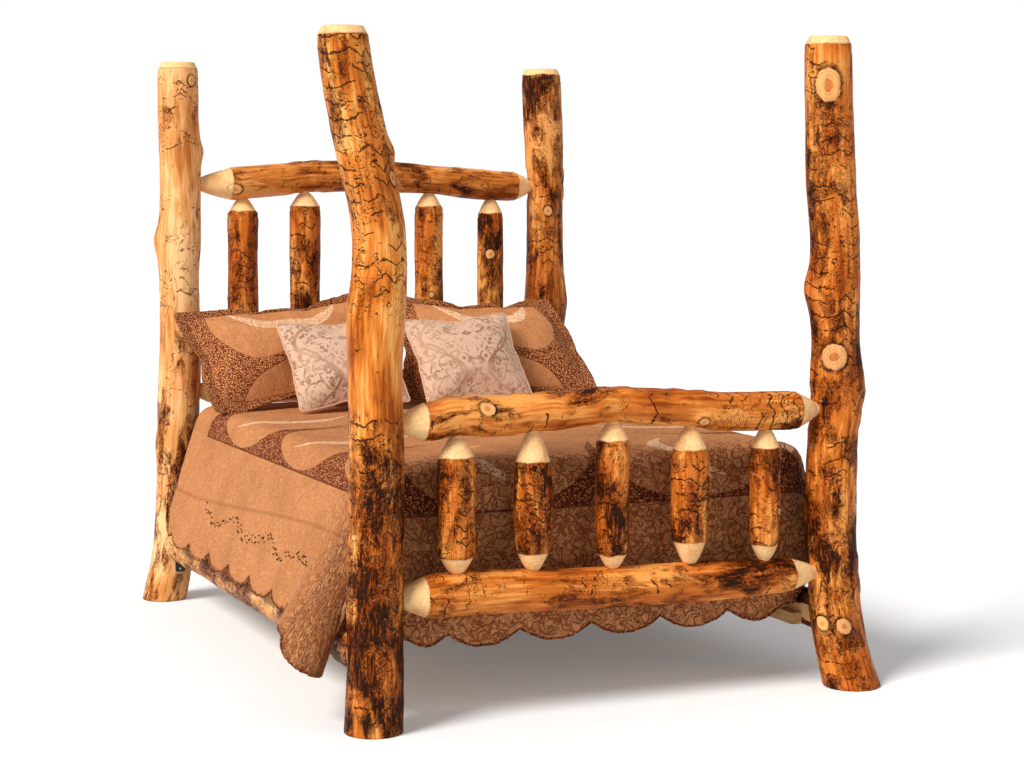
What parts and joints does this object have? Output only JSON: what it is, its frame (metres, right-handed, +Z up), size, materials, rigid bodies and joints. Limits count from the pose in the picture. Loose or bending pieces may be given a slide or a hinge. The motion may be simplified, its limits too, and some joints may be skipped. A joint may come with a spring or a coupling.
{
  "type": "rustic log bed",
  "caption": "Four-post bed of peeled logs with coned rails and spindles tenoned into the posts, side rails on hooked plates, slats, mattress, quilt and pillows.",
  "frame": {"origin": "on the floor under the middle of the bed", "axes": "+Y to the headboard, +X to the right of someone at the foot who looks at the headboard, +Z up"},
  "size_m": [2.0102, 2.5388, 2.134],
  "materials": {
    "peeled_log": "peeled log, knots and bark marks left, satin varnish",
    "planed_pine": "planed pine, unfinished",
    "black_steel": "black powder coat",
    "zinc_screw": "zinc plated",
    "felt": "pressed felt",
    "ticking": "quilted cotton ticking",
    "quilt_cloth": "stippled cotton patchwork quilt",
    "sham_cloth": "quilted cotton patchwork",
    "damask_cloth": "tone-on-tone woven damask"
  },
  "bodies": {
    "bed_frame": {"post_foot_left": "peeled_log", "post_foot_right": "peeled_log", "post_head_left": "peeled_log", "post_head_right": "peeled_log", "footboard_top_rail": "peeled_log", "footboard_bottom_rail": "peeled_log", "headboard_top_rail": "peeled_log", "headboard_bottom_rail": "peeled_log", "footboard_spindle_1": "peeled_log", "footboard_spindle_2": "peeled_log", "footboard_spindle_3": "peeled_log", "footboard_spindle_4": "peeled_log", "footboard_spindle_5": "peeled_log", "headboard_spindle_1": "peeled_log", "headboard_spindle_2": "peeled_log", "headboard_spindle_3": "peeled_log", "headboard_spindle_4": "peeled_log", "headboard_spindle_5": "peeled_log", "side_rail_left": "peeled_log", "side_rail_right": "peeled_log", "ledger_left": "planed_pine", "ledger_right": "planed_pine", "support_leg": "planed_pine", "slat_1": "planed_pine", "slat_2": "planed_pine", "slat_3": "planed_pine", "slat_4": "planed_pine", "slat_5": "planed_pine", "post_plate_foot_left": "black_steel", "post_plate_foot_right": "black_steel", "post_plate_head_left": "black_steel", "post_plate_head_right": "black_steel", "hook_plate_foot_left": "black_steel", "hook_plate_foot_right": "black_steel", "hook_plate_head_left": "black_steel", "hook_plate_head_right": "black_steel", "bracket_screws": "zinc_screw", "ledger_screws": "zinc_screw", "slat_screws": "zinc_screw", "leg_pad": "felt"},
    "foundation": {"foundation_cover": "ticking", "foundation_frame": "planed_pine"},
    "mattress_and_quilt": {"mattress": "ticking", "quilt": "quilt_cloth"},
    "sham_left": {"pillow_sham_left": "sham_cloth"},
    "sham_right": {"pillow_sham_right": "sham_cloth"},
    "throw_left": {"throw_pillow_left": "damask_cloth"},
    "throw_right": {"throw_pillow_right": "damask_cloth"}
  },
  "joints": [
    {"name": "foundation_lift", "type": "slide", "parent": "bed_frame", "child": "foundation", "axis": [0, 0, 1], "range_m": [0, 0.3]},
    {"name": "mattress_lift", "type": "slide", "parent": "foundation", "child": "mattress_and_quilt", "axis": [0, 0, 1], "range_m": [0, 0.3]},
    {"name": "sham_left_lift", "type": "slide", "parent": "mattress_and_quilt", "child": "sham_left", "axis": [0, 0, 1], "range_m": [0, 0.3]},
    {"name": "sham_right_lift", "type": "slide", "parent": "mattress_and_quilt", "child": "sham_right", "axis": [0, 0, 1], "range_m": [0, 0.3]},
    {"name": "throw_left_lift", "type": "slide", "parent": "sham_left", "child": "throw_left", "axis": [0, 0, 1], "range_m": [0, 0.25]},
    {"name": "throw_right_lift", "type": "slide", "parent": "sham_right", "child": "throw_right", "axis": [0, 0, 1], "range_m": [0, 0.25]}
  ]
}
